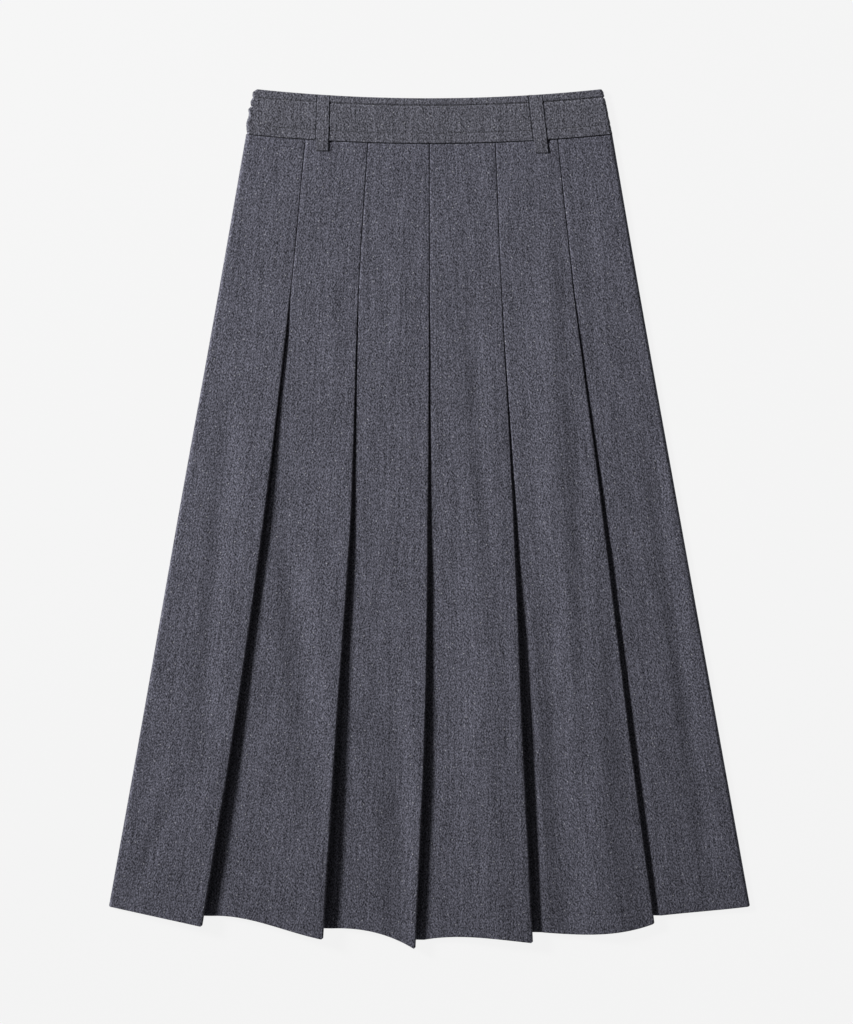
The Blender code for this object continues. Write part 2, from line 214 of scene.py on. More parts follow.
def ease(t):
    """From 0 to 1 with no slope at either end: t squared times (3 - 2t)."""
    t = np.clip(t, 0, 1)
    return t * t * (3 - 2 * t)


def between(t, first, last):
    """From first to last in a straight line."""
    return first + (last - first) * t


def share_down(y):
    """0 at the waist seam and 1 at the hem."""
    return np.clip((LEVELS[0] - y) / (LEVELS[0] - LEVELS[-1]), 0, 1)


def underlay(y):
    """How far the hidden cloth reaches back under its fold: further by a straight line down to the hem."""
    return between(share_down(y), UNDERLAY_AT_SEAM, UNDERLAY_AT_HEM)


def waist_seam(x):
    """The seam's height on the table: a parabola, lowest at the centre."""
    return SEAM_Y + SIDE_RISE * (x / HALF_SEAM) ** 2


def through_thirds(t, values):
    """The cubic that takes four values at t = 0, 1/3, 2/3 and 1 (Lagrange's form)."""
    at = np.array([0, 1 / 3, 2 / 3, 1])
    total = np.zeros_like(t)
    for i, value in enumerate(values):
        others = np.delete(at, i)
        total = total + value * np.prod([(t - o) / (at[i] - o) for o in others], axis=0)
    return total


class Pleats:
    """The section of one half of the skirt across its pleats, seen from its own outer side.

    A stretch of it is the panel it belongs to, the hem under each of its points, and a function of y that
    gives x and z. A panel comes out from under the fold before it, rises to the outer layer, folds under,
    runs back and turns again.
    """

    def __init__(self, sides, folds, levels, counts, shoulder):
        """Its side lines and folds, layer heights, counts of points and the width of its shoulders."""
        self.sides = sides
        self.folds = folds
        self.low, self.mid, self.top = levels
        self.counts = counts
        self.shoulder_width = shoulder

    def fold_x(self, k, y):
        """Where a fold's edge lies: its own curve down the skirt."""
        return along(self.folds[k], y)

    def lift(self, k, y):
        """A pressed fold doesn't lift."""
        return 0 * y

    def roll(self, k, y):
        """The radius of a pressed fold's middle line: half a pitch."""
        return PITCH / 2 + 0 * y

    def relief(self, k, t, x, y):
        """A pressed panel is flat."""
        return 0 * x

    def rise(self, k, y):
        """Where the next panel starts to come up, how wide its rise is, and how steep in the middle."""
        return BACK_RISE_START + 0 * y, BACK_RISE + 0 * y, 0 * y

    def panel_start(self, k, y):
        """The end of the rise before the panel, or of the shoulder at the first side."""
        if k == 0:
            return along(self.sides[0], y) + self.shoulder_width
        start, width, _ = self.rise(k - 1, y)
        return self.fold_x(k - 1, y) + start + width

    def panel_end(self, k, y):
        """The middle of the panel's fold, or the start of the shoulder at the last side."""
        if k == len(self.folds):
            return along(self.sides[1], y) - self.shoulder_width
        return self.fold_x(k, y) - CLOTH / 2 - self.roll(k, y)

    def outer_layer(self, k, t, y):
        """A straight run across the panel, at the top height and its relief."""
        x = between(t, self.panel_start(k, y), self.panel_end(k, y))
        return x, self.top + self.relief(k, t, x, y)

    def fold(self, k, angle, y):
        """Half a circle from the outer layer down to the layer under it."""
        radius = self.roll(k, y)
        centre = self.fold_x(k, y) - CLOTH / 2 - radius
        middle = self.top + self.lift(k, y) - radius
        return centre + radius * np.cos(angle), middle + radius * np.sin(angle)

    def turn_centre(self, k, y):
        """The inner turn lies an underlay back from the fold, less one pitch."""
        return self.fold_x(k, y) - underlay(y) + PITCH

    def under_layer(self, k, t, y):
        """Straight back from the foot of the fold to the turn, its height eased down to the middle layer."""
        start = self.fold_x(k, y) - CLOTH / 2 - self.roll(k, y)
        lowest = self.top + self.lift(k, y) - 2 * self.roll(k, y)
        return between(t, start, self.turn_centre(k, y)), between(ease(t), lowest, self.mid)

    def turn(self, k, angle, y):
        """Half a circle from the middle layer down to the low one."""
        radius = PITCH / 2
        x = self.turn_centre(k, y) - radius * np.cos(angle)
        return x, (self.low + self.mid) / 2 + radius * np.sin(angle)

    def low_layer(self, k, t, y):
        """Straight out along the low height, to where the next panel comes up."""
        x = between(t, self.turn_centre(k, y), self.fold_x(k, y) + self.rise(k, y)[0])
        return x, self.low + 0 * x

    def coming_up(self, k, t, y):
        """An S: height eases from low to top, and steepness draws the middle together towards upright."""
        start, width, steep = self.rise(k, y)
        sideways = t + steep * np.sin(2 * np.pi * t) / (2 * np.pi)
        x = self.fold_x(k, y) + start + width * sideways
        return x, between(ease(t), self.low, self.top) + 0 * y

    def shoulder(self, side, angle, y):
        """A quarter ellipse from the side edge up to the panel."""
        reach = self.shoulder_width - CLOTH / 2
        inward = 1 if side == 0 else -1
        x = along(self.sides[side], y) + inward * (CLOTH / 2 + reach * (1 - np.cos(angle)))
        return x, SIDE_END_Z + (self.top - SIDE_END_Z) * np.sin(angle) + 0 * y

    def stretches(self, hems):
        """Every stretch of the section in turn, from the first side to the last."""
        last = len(self.folds)
        made = []

        def add(panel, share, hem, shape, k):
            """One more stretch, whose shape is asked for at these shares or angles."""
            share = np.asarray(share, float)
            made.append((panel, hem + 0 * share, lambda y: shape(k, share, y)))

        down = SHOULDER_ANGLES
        corner = SIDE_CORNER * (1 - np.sin(down))
        for k in range(last + 1):
            hem = hems[k]
            if k == 0 and self.shoulder_width:
                add(0, down, hem.start + corner, self.shoulder, 0)
            if k > 0:
                share = np.linspace(0, 1, self.counts["low"], endpoint=False)
                add(k, share, between(share, hems[k - 1].inner, hem.start), self.low_layer, k - 1)
                share = np.linspace(0, 1, self.counts["up"], endpoint=False)
                add(k, share, hem.start, self.coming_up, k - 1)
            share = np.linspace(0, 1, self.counts["panel"], endpoint=k == last)
            line = through_thirds(share, [hem.start, hem.third, hem.two_thirds, hem.fold])
            add(k, share, line, self.outer_layer, k)
            if k == last:
                break
            angle = np.linspace(np.pi / 2, -np.pi / 2, self.counts["fold"], endpoint=False)
            add(k, angle, hem.fold + HEM_CORNER * np.cos(angle), self.fold, k)
            share = np.linspace(0, 1, self.counts["under"], endpoint=False)
            add(k, share, between(share, hem.fold, hem.inner), self.under_layer, k)
            angle = np.linspace(np.pi / 2, -np.pi / 2, self.counts["turn"], endpoint=False)
            add(k, angle, hem.inner, self.turn, k)
        if self.shoulder_width:
            add(last, down[::-1], hems[last].fold + corner[::-1], self.shoulder, 1)
        return made


def shares_down(count, from_seam, from_hem):
    """Row shares from 0 to 1: evenly spaced, and some more at these distances from the seam and the hem."""
    length = LEVELS[0] - LEVELS[-1]
    near_seam = np.array(from_seam) / length
    near_hem = 1 - np.array(from_hem) / length
    rows = np.concatenate([np.linspace(0, 1, count), near_seam, near_hem])
    return np.unique(np.round(rows, 6))


def hang(stretches, rows, lowest, top):
    """The middle surface of a pleated half, and where each of its points was on the cut, in metres.

    A point goes down from the waist seam to its own hem. The outermost layer starts inside the seam, and
    dips there by a bell curve. On the cut, across is the length of cloth from the middle of the point's
    panel, so the warp runs along each panel's middle.
    """
    columns = []
    panels = []
    for panel, hem, shape in stretches:
        x_top, z_top = shape(np.full((1, len(hem)), LEVELS[0]))
        outermost = ease(2 * (z_top - lowest) / (top - lowest) - 1)
        top_y = waist_seam(x_top) + between(outermost, -GAP / 2, SEAM_TUCK)
        y = top_y + (hem - top_y) * rows[:, None]
        x, z = shape(y)
        upper = np.clip((z - lowest) / (top - lowest), 0, 1)
        z = z - SEAM_DIP * upper * np.exp(-(((top_y - y) / SEAM_DIP_HALF) ** 2))
        columns.append(np.stack([x, y, z + 0 * y], axis=2))
        panels.append(np.full(len(hem), panel))
    points = np.concatenate(columns, axis=1)
    panels = np.concatenate(panels)
    length = np.linalg.norm(np.diff(points[..., [0, 2]], axis=1), axis=2)
    run = np.concatenate([np.zeros((len(rows), 1)), np.cumsum(length, axis=1)], axis=1)
    middle = [np.flatnonzero(panels == k)[0] for k in range(panels[-1] + 1)]
    last = [np.flatnonzero(panels == k)[-1] for k in range(panels[-1] + 1)]
    for k in range(len(middle)):
        of_panel = slice(middle[k], last[k] + 1)
        run[:, of_panel] -= run[:, [(middle[k] + last[k]) // 2]]
        run[:, of_panel] += k * PANEL_CUT
    return points, np.stack([run, points[..., 1]], axis=2) * MM, panels


def wall(points, across, outward, inward):
    """Both faces of a wall about its middle surface.

    A point moves out by outward and in by inward along the mitre of the two segments of its row that meet
    there, square to across.
    """
    across = np.array(across, float)
    run = np.diff(points, axis=1)
    run = run - (run @ across)[..., None] * across
    run = run / np.linalg.norm(run, axis=2, keepdims=True)
    square = np.cross(across, run)
    before = np.concatenate([square[:, :1], square], axis=1)
    after = np.concatenate([square, square[:, -1:]], axis=1)
    mitre = (before + after) / (1 + (before * after).sum(axis=2, keepdims=True))
    return points + mitre * outward, points - mitre * inward


def rounded(distance, radius):
    """How much of its thickness a wall keeps near a rounded edge: a quarter circle in distance / radius."""
    short = np.clip(1 - distance / radius, 0, 1)
    return np.maximum(np.sqrt(1 - short**2), THIN_EDGE)


def cloth_piece(name, faces_of_wall, cut, material):
    """One closed object from the two faces of a wall, the rim between them, and its map of the cut."""
    outer, inner = faces_of_wall
    rows, columns = outer.shape[:2]
    count = rows * columns
    index = np.arange(count).reshape(rows, columns)
    corners = [index[:-1, :-1], index[:-1, 1:], index[1:, 1:], index[1:, :-1]]
    quads = np.stack(corners, axis=2).reshape(-1, 4)
    edge = np.concatenate([index[0, :-1], index[:-1, -1], index[-1, :0:-1], index[:0:-1, 0]])
    onward = np.roll(edge, -1)
    rim = np.stack([onward, edge, edge + count, onward + count], axis=1)
    faces = np.concatenate([quads, quads[:, ::-1] + count, rim])
    points = np.concatenate([outer.reshape(-1, 3), inner.reshape(-1, 3)]) * MM
    flat = np.tile(cut.reshape(-1, 2), (2, 1))
    return closed_object(name, points, faces, flat, material)


def closed_object(name, points, faces, flat, material):
    """A smooth closed mesh of quads. Its faces are turned if they enclose a negative volume."""
    a, b, c, d = (points[faces[:, i]] for i in range(4))
    volume = (np.cross(a, b) * c).sum() + (np.cross(a, c) * d).sum()
    if volume < 0:
        faces = faces[:, ::-1]
    mesh = bpy.data.meshes.new(name)
    mesh.from_pydata(points.tolist(), [], faces.tolist())
    mesh.shade_smooth()
    mesh.uv_layers.new(name="cut").data.foreach_set("uv", flat[faces.reshape(-1)].reshape(-1))
    mesh.materials.append(material)
    made = bpy.data.objects.new(name, mesh)
    bpy.context.scene.collection.objects.link(made)
    return made


def turned(line, shift=0.0):
    """A line of the front as the back has it: seen from behind, and moved by shift."""
    return Line(*(-(value + shift) for value in line))


flannel = wool_flannel("grey_melange_wool_flannel", FLANNEL_DARK, FLANNEL_PALE)

back_section = Pleats(
    (turned(RIGHT_SIDE), turned(LEFT_SIDE)),
    [turned(line, BACK_FOLD_SHIFT) for line in reversed(FOLDS)],
    (CLOTH / 2, CLOTH / 2 + PITCH, CLOTH / 2 + 2 * PITCH),
    {"low": 3, "up": 6, "panel": 9, "fold": 6, "under": 4, "turn": 4},
    0,
)
back_stretches = []
for panel, hem, shape in back_section.stretches([Hem(0, 0, 0, 0, 0)] * 6):
    x_low, _ = shape(np.full((1, len(hem)), BACK_HEM_CENTRE))
    back_hem = BACK_HEM_CENTRE + BACK_HEM_RISE * (x_low[0] / HALF_HEM) ** 2
    back_stretches.append((panel, back_hem, shape))
back_rows = shares_down(90, SEAM_ROWS, EDGE_ROWS)
back_middle, back_cut, _ = hang(back_stretches, back_rows, CLOTH / 2, BACK_STACK)
# The section is worked out as seen from behind, so the back is turned over here
back_middle[..., 0] *= -1
back_middle[..., 2] = BACK_STACK - back_middle[..., 2]
from_hem = back_middle[..., 1] - back_middle[-1:, :, 1]
half = (CLOTH / 2 * rounded(from_hem, EDGE_ROUND))[..., None]
back_cloth = cloth_piece("back_cloth", wall(back_middle, (0, 1, 0), half, half), back_cut, flannel)
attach(back_cloth, "root")
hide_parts("skirt_back")

# Side zip
# A concealed zip, closed, inside the side seam at -X: two woven polyester tapes that meet edge to edge and a
# moulded nylon coil along the middle. The photograph hides it; the puckered end of the band points to it.
ZIP_INSET = 4.6
ZIP_WIDTH = 14.0
ZIP_BELOW_SEAM = 3.0
ZIP_LENGTH = 197.3
TAPE = 0.7
TAPE_EDGE = 0.35
TAPE_Z = CLOTH + GAP + TAPE / 2
TAPE_GROOVE = 0.25
TAPE_GROOVE_HALF = 0.25
TAPE_GREY = "36363b"
TAPE_RIB_PALE = "46464c"
TAPE_RIB = 1.0
TAPE_RIB_HEIGHT = 0.1
COIL_GREY = "3f3f45"
COIL_PITCH = 1.5
COIL_HALF = 2.0
COIL_HEIGHT = 0.95
COIL_WIRE = 0.36
COIL_CROSSING = 0.5
COIL_SINK = 0.1
COIL_MARGIN = 3.0
COIL_CLOUD = 3.0


def wave_scale(step):
    """The Scale at which a wave pattern repeats at each step: it has 10 / pi waves to a unit."""
    return np.pi / (10 * step * MM)


def ribbed_tape(name, dark, pale, rib):
    """Woven polyester tape: fine ribs across its length, a little glossier than wool."""
    material, shader = plain_material(name, {"Roughness": 0.65, "Sheen Weight": 0.1})
    cut = add_node(material, "UVMap", uv_map="cut").outputs["UV"]
    ribs = {"Vector": cut, "Scale": wave_scale(rib), "Distortion": 0.6, "Detail": 1.0}
    wave = add_node(material, "TexWave", ribs, bands_direction="Y").outputs["Fac"]
    bump = add_node(material, "Bump", {"Height": wave, "Strength": 0.4, "Distance": TAPE_RIB_HEIGHT * MM})
    colour = shade_between(material, wave, linear(dark), linear(pale))
    material.node_tree.links.new(colour, shader.inputs["Base Color"])
    material.node_tree.links.new(bump.outputs["Normal"], shader.inputs["Normal"])
    return material


def moulded_nylon(name, dark, pale):
    """Nylon as it leaves the mould: smooth and a little glossy, with faint soft clouds in its colour."""
    material, shader = plain_material(name, {"Roughness": 0.35})
    cut = add_node(material, "UVMap", uv_map="cut").outputs["UV"]
    cloud = {"Vector": cut, "Scale": 1 / (COIL_CLOUD * MM)}
    cloud = add_node(material, "TexNoise", cloud).outputs["Fac"]
    colour = shade_between(material, cloud, linear(dark), linear(pale))
    material.node_tree.links.new(colour, shader.inputs["Base Color"])
    return material


def threads(name, paths, radius, up, material):
    """Many short round threads of equal point counts as one closed mesh.

    Round each inner point of a path lie six points at the radius, square to the path; the end points close
    the thread, each by three quads that take two sides at a time.
    """
    count, length = paths.shape[:2]
    run = np.gradient(paths, axis=1)
    run = run / np.linalg.norm(run, axis=2, keepdims=True)
    side = np.cross(run, np.array(up, float))
    side = side / np.linalg.norm(side, axis=2, keepdims=True)
    lift = np.cross(side, run)
    angle = np.radians(np.arange(0, 360, 60))[:, None]
    ring = side[:, 1:-1, None] * np.cos(angle) + lift[:, 1:-1, None] * np.sin(angle)
    skin = (paths[:, 1:-1, None] + radius * ring).reshape(count, -1, 3)
    points = np.concatenate([paths[:, :1], skin, paths[:, -1:]], axis=1)
    index = 1 + np.arange((length - 2) * 6).reshape(length - 2, 6)
    onward = np.roll(index, -1, axis=1)
    faces = [np.stack([index[:-1], onward[:-1], onward[1:], index[1:]], axis=2).reshape(-1, 4)]
    for pole, ring_index in ((0, index[0, ::-1]), (points.shape[1] - 1, index[-1])):
        first = ring_index[0::2]
        faces.append(np.stack([np.full(3, pole), first, ring_index[1::2], np.roll(first, -1)], axis=1))
    faces = np.concatenate(faces)
    faces = (faces + (np.arange(count) * points.shape[1])[:, None, None]).reshape(-1, 4)
    points = points.reshape(-1, 3) * MM
    return closed_object(name, points, faces, points[:, :2], material)


zip_top = waist_seam(LEFT_SIDE.seam + ZIP_INSET + ZIP_WIDTH) - ZIP_BELOW_SEAM
tape_y = np.linspace(zip_top, zip_top - ZIP_LENGTH, 41)[:, None]
tape_half = ZIP_WIDTH / 2
tape_across = np.array([0, 0.05, 0.15, 0.35, 1, 2, 4, 5.5, 6.4, 6.8]) - tape_half
tape_across = np.concatenate([tape_across, [0], -tape_across[::-1]])[None, :]
tape_x = along(LEFT_SIDE, tape_y) + ZIP_INSET + tape_half + tape_across
tape_points = np.stack([tape_x, tape_y + 0 * tape_x, TAPE_Z + 0 * tape_x], axis=2)
tape_thick = TAPE / 2 * rounded(tape_half - np.abs(tape_across), TAPE_EDGE) + 0 * tape_y
meeting = TAPE_GROOVE * np.exp(-((tape_across / TAPE_GROOVE_HALF) ** 2))
tape_walls = wall(tape_points, (0, -1, 0), (tape_thick - meeting)[..., None], tape_thick[..., None])
tape_cut = np.stack([tape_across + 0 * tape_y, tape_y + 0 * tape_across], axis=2) * MM
tape_weave = ribbed_tape("woven_polyester_tape", TAPE_GREY, TAPE_RIB_PALE, TAPE_RIB)
zip_tapes = cloth_piece("zip_tapes", tape_walls, tape_cut, tape_weave)

# Each loop of the coil is half an ellipse that starts at its own tape and crosses the middle a little; those
# of the right tape lie half a pitch below those of the left.
turn_count = int((ZIP_LENGTH - 2 * COIL_MARGIN) / COIL_PITCH)
arch = np.linspace(0, np.pi, 9)
loop_y = zip_top - COIL_MARGIN - COIL_PITCH * np.arange(turn_count)[:, None]
loop_x = -COIL_HALF + (COIL_HALF + COIL_CROSSING) * (1 - np.cos(arch)) / 2
loop_z = TAPE_Z + TAPE / 2 + COIL_HEIGHT * np.sin(arch) - COIL_SINK
coils = []
for hand, shift in ((1, 0), (-1, COIL_PITCH / 2)):
    y = loop_y - shift + 0 * arch
    x = along(LEFT_SIDE, y) + ZIP_INSET + tape_half + hand * loop_x
    coils.append(np.stack([x, y, loop_z + 0 * y], axis=2))
nylon = moulded_nylon("moulded_nylon_coil", TAPE_GREY, COIL_GREY)
zip_coil = threads("zip_coil", np.concatenate(coils), COIL_WIRE, (0, 1, 0), nylon)
for piece in (zip_tapes, zip_coil):
    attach(piece, "root")
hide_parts("side_zip")

# Front half of the skirt
# The same flannel in five knife pleats. They are sewn down on the inside to the hip, where only a fine
# groove shows, and open below it, so that each fold lifts towards the hem and rolls over the next panel.
FRONT_LOW = 2.0
FRONT_MID = FRONT_LOW + PITCH
FRONT_TOP = FRONT_LOW + 2 * PITCH
ROLL_PER_LIFT = 0.08
RAMP_EASED = 0.35
SWELL_MIDDLE = 0.6
SWELL_HALF = 0.38
GROOVE_WAVER = 0.12
GROOVE_WAVES = (6.0, 17.0)
HEM_START = 0.5
HEM_RISE = 7.5
HEM_SOFTENING = 0.7
RELEASE_SHARE = 0.19
OPEN_SHARE = 0.5
FOLD_WAVER = 0.13
FOLD_WAVES = (23.0, 61.0)
BILLOW_AT_TOP = 0.05
BILLOW_AT_HEM = 0.55
BILLOW_ACROSS = (17.0, 60.0)
BILLOW_DOWN = (90.0, 58.0)
PANEL_MARGIN = 0.05
HEM_LINE = 19.0
HEM_DIP = 0.22
HEM_DIP_HALF = 0.9
HEM_LINE_ROWS = HEM_LINE + np.array([-1.5, -0.7, 0, 0.7, 1.5])

# Each fold's lift over its pressed height at these levels, by the width of its shadow, how far the shadow's
# edge lies beyond the solid's fold at the three low levels of the section, the width of the groove where the
# pleat is sewn down, and the swell before the fold, which grows by these shares at the section's five levels
LIFT_LEVELS = np.array([372.0, 230.0, 180.0, 110.0, 8.0, -60.0, -130.0, -200.0, -300.0, -420.0])
Lift = namedtuple("Lift", "heights ahead groove swell")
SWELL_GROWTH = (0, 0, 0.4, 0.9, 1)
LIFTS = [
    Lift((0, 0, 2.7, 3.4, 6.4, 6.5, 6.8, 8.1, 9.3, 10.0), (0.8, 1.2, 0.8), 1.15, 0.0),
    Lift((0, 0, 1.2, 1.8, 3.8, 6.0, 6.5, 8.9, 11.0, 10.8), (0.5, 0.6, 1.2), 1.25, 0.0),
    Lift((0, 0.2, 1.0, 1.4, 2.8, 4.6, 5.2, 6.8, 8.0, 7.6), (0.5, 0.9, 1.6), 1.3, 0.0),
    Lift((0, 0, 0.4, 0.7, 2.4, 4.4, 7.4, 9.2, 9.0, 7.8), (0.4, -0.1, 0.3), 1.15, 2.5),
    Lift((0, 0.5, 1.5, 2.1, 3.1, 3.8, 3.9, 4.2, 4.3, 4.0), (0.5, 0.2, 0.8), 1.35, 5.0),
]

# Hem of each panel, from where it comes out to its fold, and of the hidden inner fold after it
HEMS = [
    Hem(-381.5, -387.8, -394.0, -400.3, -385.0),
    Hem(-390.0, -393.6, -403.2, -412.8, -397.0),
    Hem(-402.3, -403.4, -409.6, -422.0, -401.0),
    Hem(-413.4, -410.6, -412.6, -416.4, -404.0),
    Hem(-406.0, -408.2, -406.6, -398.0, -389.5),
    Hem(-389.6, -386.8, -384.2, -381.2, -381.2),
]

# Creases left by wear and folding: soft troughs, and ridges where depth is negative
CREASE_BLUNTNESS = 0.7
Crease = namedtuple("Crease", "x_top y_top x_low y_low half depth")
CREASES = [
    Crease(-58.0, 350, -55.0, 205, 6.0, 0.7),
    Crease(103.0, 360, 104.0, 305, 5.0, 0.6),
    Crease(136.0, 362, 150.0, 255, 6.0, 0.5),
    Crease(153.0, 351, 166.0, 130, 13.0, 1.0),
    Crease(155.0, 351, 168.0, 130, 30.0, -0.6),
    Crease(114.0, 320, 128.0, 110, 16.0, -0.9),
    Crease(-28.0, 300, -26.0, 140, 14.0, -0.7),
    Crease(-97.0, 250, -92.0, 90, 15.0, -0.8),
    Crease(38.0, 250, 64.0, -110, 15.0, 1.7),
    Crease(112.0, 260, 124.0, -80, 22.0, -1.5),
    Crease(143.0, 130, 158.0, -330, 16.0, 2.2),
    Crease(-194.0, 130, -227.0, -280, 16.0, 2.1),
    Crease(-228.0, -240, -300.0, -380, 12.0, 0.9),
    Crease(-143.0, 20, -106.0, -330, 24.0, 3.2),
    Crease(-50.0, -80, -54.0, -280, 12.0, 0.7),
    Crease(-36.0, -130, -26.0, -450, 23.0, 3.0),
    Crease(-30.0, -190, -20.0, -430, 11.0, 0.9),
    Crease(50.0, -240, 46.0, -410, 13.0, 0.7),
    Crease(93.0, -60, 113.0, -440, 23.0, -3.2),
    Crease(214.0, 100, 282.0, -400, 15.0, 2.0),
]

# The front belt loops: their lower ends press shallow beds into the cloth below the waist seam. The rows are
# where the two beds end, counted from the seam.
Loop = namedtuple("Loop", "name node x_top x_bottom width y_bottom")
FRONT_LOOPS = [
    Loop("loop_front_left_cloth", "belt_loop_front_left", -103.4, -105.0, 12.2, 359.9),
    Loop("loop_front_right_cloth", "belt_loop_front_right", 104.3, 110.5, 13.0, 357.9),
]
LOOP_BED_SIDE = 1.0
SKIRT_BED = 0.42
SKIRT_BED_END = 0.5
SKIRT_BED_ROWS = (10.9, 11.1, 11.3, 11.5, 11.7, 13.1, 13.3, 13.5, 13.7, 13.9)


class FrontPleats(Pleats):
    """The front's section: folds that lift below the release, and panels with swells, creases and billow."""

    def fold_x(self, k, y):
        """The solid's fold, the little by which its shadow's edge lies ahead, and a waver of two sines."""
        waver = FOLD_WAVER * np.sin(y / FOLD_WAVES[0] + 2.1 * k) * np.sin(y / FOLD_WAVES[1] + k)
        return along(self.folds[k], y) + along((0, 0, *LIFTS[k].ahead), y) + waver

    def lift(self, k, y):
        """The lift through the table's heights, never below nothing."""
        return np.maximum(along(LIFTS[k].heights, y, LIFT_LEVELS), 0)

    def roll(self, k, y):
        """The radius of the fold's middle line: half a pitch where pressed, and more as the fold lifts."""
        return PITCH / 2 + ROLL_PER_LIFT * self.lift(k, y)

    def rise(self, k, y):
        """A narrow groove, wavering by two sines, down to the release, then eased open towards the hem."""
        opened = ease((share_down(y) - RELEASE_SHARE) / OPEN_SHARE)
        waver = GROOVE_WAVER * np.sin(y / GROOVE_WAVES[0] + k) * np.sin(y / GROOVE_WAVES[1] + 2 * k)
        width = between(opened, LIFTS[k].groove + waver, HEM_RISE)
        return HEM_START * opened, width, 1 - HEM_SOFTENING * opened

    def relief(self, k, t, x, y):
        """The sum of the panel's forms.

        Billow is a product of two sine waves. A crease is a cosine across its line, and a power of a sine
        along it. The hem's line is a bell curve, the ramp up to the fold is partly straight and partly
        eased, and the swell before it is a cosine.
        """
        inside = ease(t / PANEL_MARGIN) * ease((1 - t) / PANEL_MARGIN)
        billow = np.sin(x / BILLOW_ACROSS[0] + y / BILLOW_DOWN[0] + 1.3 * k)
        billow = billow * np.sin(y / BILLOW_DOWN[1] - x / BILLOW_ACROSS[1] + 2.6 * k)
        height = between(share_down(y), BILLOW_AT_TOP, BILLOW_AT_HEM) * billow * inside
        for crease in CREASES:
            down = (crease.y_top - y) / (crease.y_top - crease.y_low)
            aside = (x - between(down, crease.x_top, crease.x_low)) / crease.half
            across = (1 + np.cos(np.pi * np.clip(aside, -1, 1))) / 2
            lengthwise = np.sin(np.pi * np.clip(down, 0, 1)) ** CREASE_BLUNTNESS
            height = height - crease.depth * across * lengthwise * inside
        hem = HEMS[k]
        above = y - through_thirds(t, [hem.start, hem.third, hem.two_thirds, hem.fold])
        height = height - HEM_DIP * np.exp(-(((above - HEM_LINE) / HEM_DIP_HALF) ** 2)) * inside
        if k < len(self.folds):
            height = height + self.lift(k, y) * between(RAMP_EASED, t, ease(t))
            near = np.clip((t - SWELL_MIDDLE) / SWELL_HALF, -1, 1)
            grown = np.maximum(along(SWELL_GROWTH, y), 0)
            height = height + LIFTS[k].swell * grown * (1 + np.cos(np.pi * near)) / 2
        return height


front_section = FrontPleats(
    (LEFT_SIDE, RIGHT_SIDE),
    FOLDS,
    (FRONT_LOW, FRONT_MID, FRONT_TOP),
    {"low": 3, "up": 8, "panel": 25, "fold": 10, "under": 5, "turn": 4},
    SHOULDER,
)
front_rows = shares_down(126, (*SEAM_ROWS, *SKIRT_BED_ROWS), (*EDGE_ROWS, *HEM_LINE_ROWS))
front_middle, front_cut, front_panels = hang(
    front_section.stretches(HEMS), front_rows, FRONT_LOW, FRONT_TOP
)
from_hem = front_middle[..., 1] - front_middle[-1:, :, 1]
half = (CLOTH / 2 * rounded(from_hem, EDGE_ROUND))[..., None]
# A bed is flat under its loop and eased out below and beside it
outer_half = half.copy()
for loop in FRONT_LOOPS:
    below = (loop.y_bottom - front_middle[..., 1]) / SKIRT_BED_END
    outside = (np.abs(front_middle[..., 0] - loop.x_bottom) - loop.width / 2) / LOOP_BED_SIDE
    outer_half[..., 0] -= SKIRT_BED * ease(1 - below) * ease(1 - outside)
front_walls = wall(front_middle, (0, -1, 0), outer_half, half)
front_cloth = cloth_piece("front_cloth", front_walls, front_cut, flannel)
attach(front_cloth, "root")
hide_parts("skirt_front")

# Stitches of the hem
# The turned-up hem is caught from inside by blind stitches of spun polyester thread, so that only small
# picks show, in a faint line 19 mm above the edge; the thread's dark colour is partly painted shade.
PICK_STEP = 7.5
PICK_LENGTH = 1.3
PICK_THREAD = 0.13
PICK_SINK = 0.04
PICK_DIP = 3 * PICK_THREAD
LEVEL_SLOPE = 0.5
# The thread's two colours are far darker than the cloth: its own tone darkened with painted shade, so that
# each row of stitches reads as the dark shade of its groove
THREAD_SHADED_DARK = "16161b"
THREAD_SHADED_PALE = "2c2c33"
THREAD_TWIST = 0.7


def sewing_thread(name, dark, pale):
    """Spun polyester thread: two plies whose twist shows as fine bands along it, its colour darkened with
    painted shade.
    """
    material, shader = plain_material(name, {"Roughness": 0.7, "Sheen Weight": 0.1})
    cut = add_node(material, "UVMap", uv_map="cut").outputs["UV"]
    plies = {"Vector": cut, "Scale": wave_scale(THREAD_TWIST)}
    wave = add_node(material, "TexWave", plies, bands_direction="DIAGONAL").outputs["Fac"]
    colour = shade_between(material, wave, linear(dark), linear(pale))
    material.node_tree.links.new(colour, shader.inputs["Base Color"])
    return material


def spaced(points, step):
    """Points at equal steps along a row of points."""
    run = np.concatenate([[0], np.cumsum(np.linalg.norm(np.diff(points, axis=0), axis=1))])
    at = np.arange(step / 2, run[-1], step)
    return np.stack([np.interp(at, run, points[:, i]) for i in range(3)], axis=1)


def stitches(centres, length, sink):
    """A stitch at each centre along the row. Its ends sink into the cloth by the fourth power of t."""
    run = np.gradient(centres, axis=0)
    run = run / np.linalg.norm(run, axis=1, keepdims=True)
    t = np.linspace(-1, 1, 7)[None, :, None]
    paths = centres[:, None] + run[:, None] * t * length / 2
    paths[..., 2] -= sink * t[..., 0] ** 4
    return paths
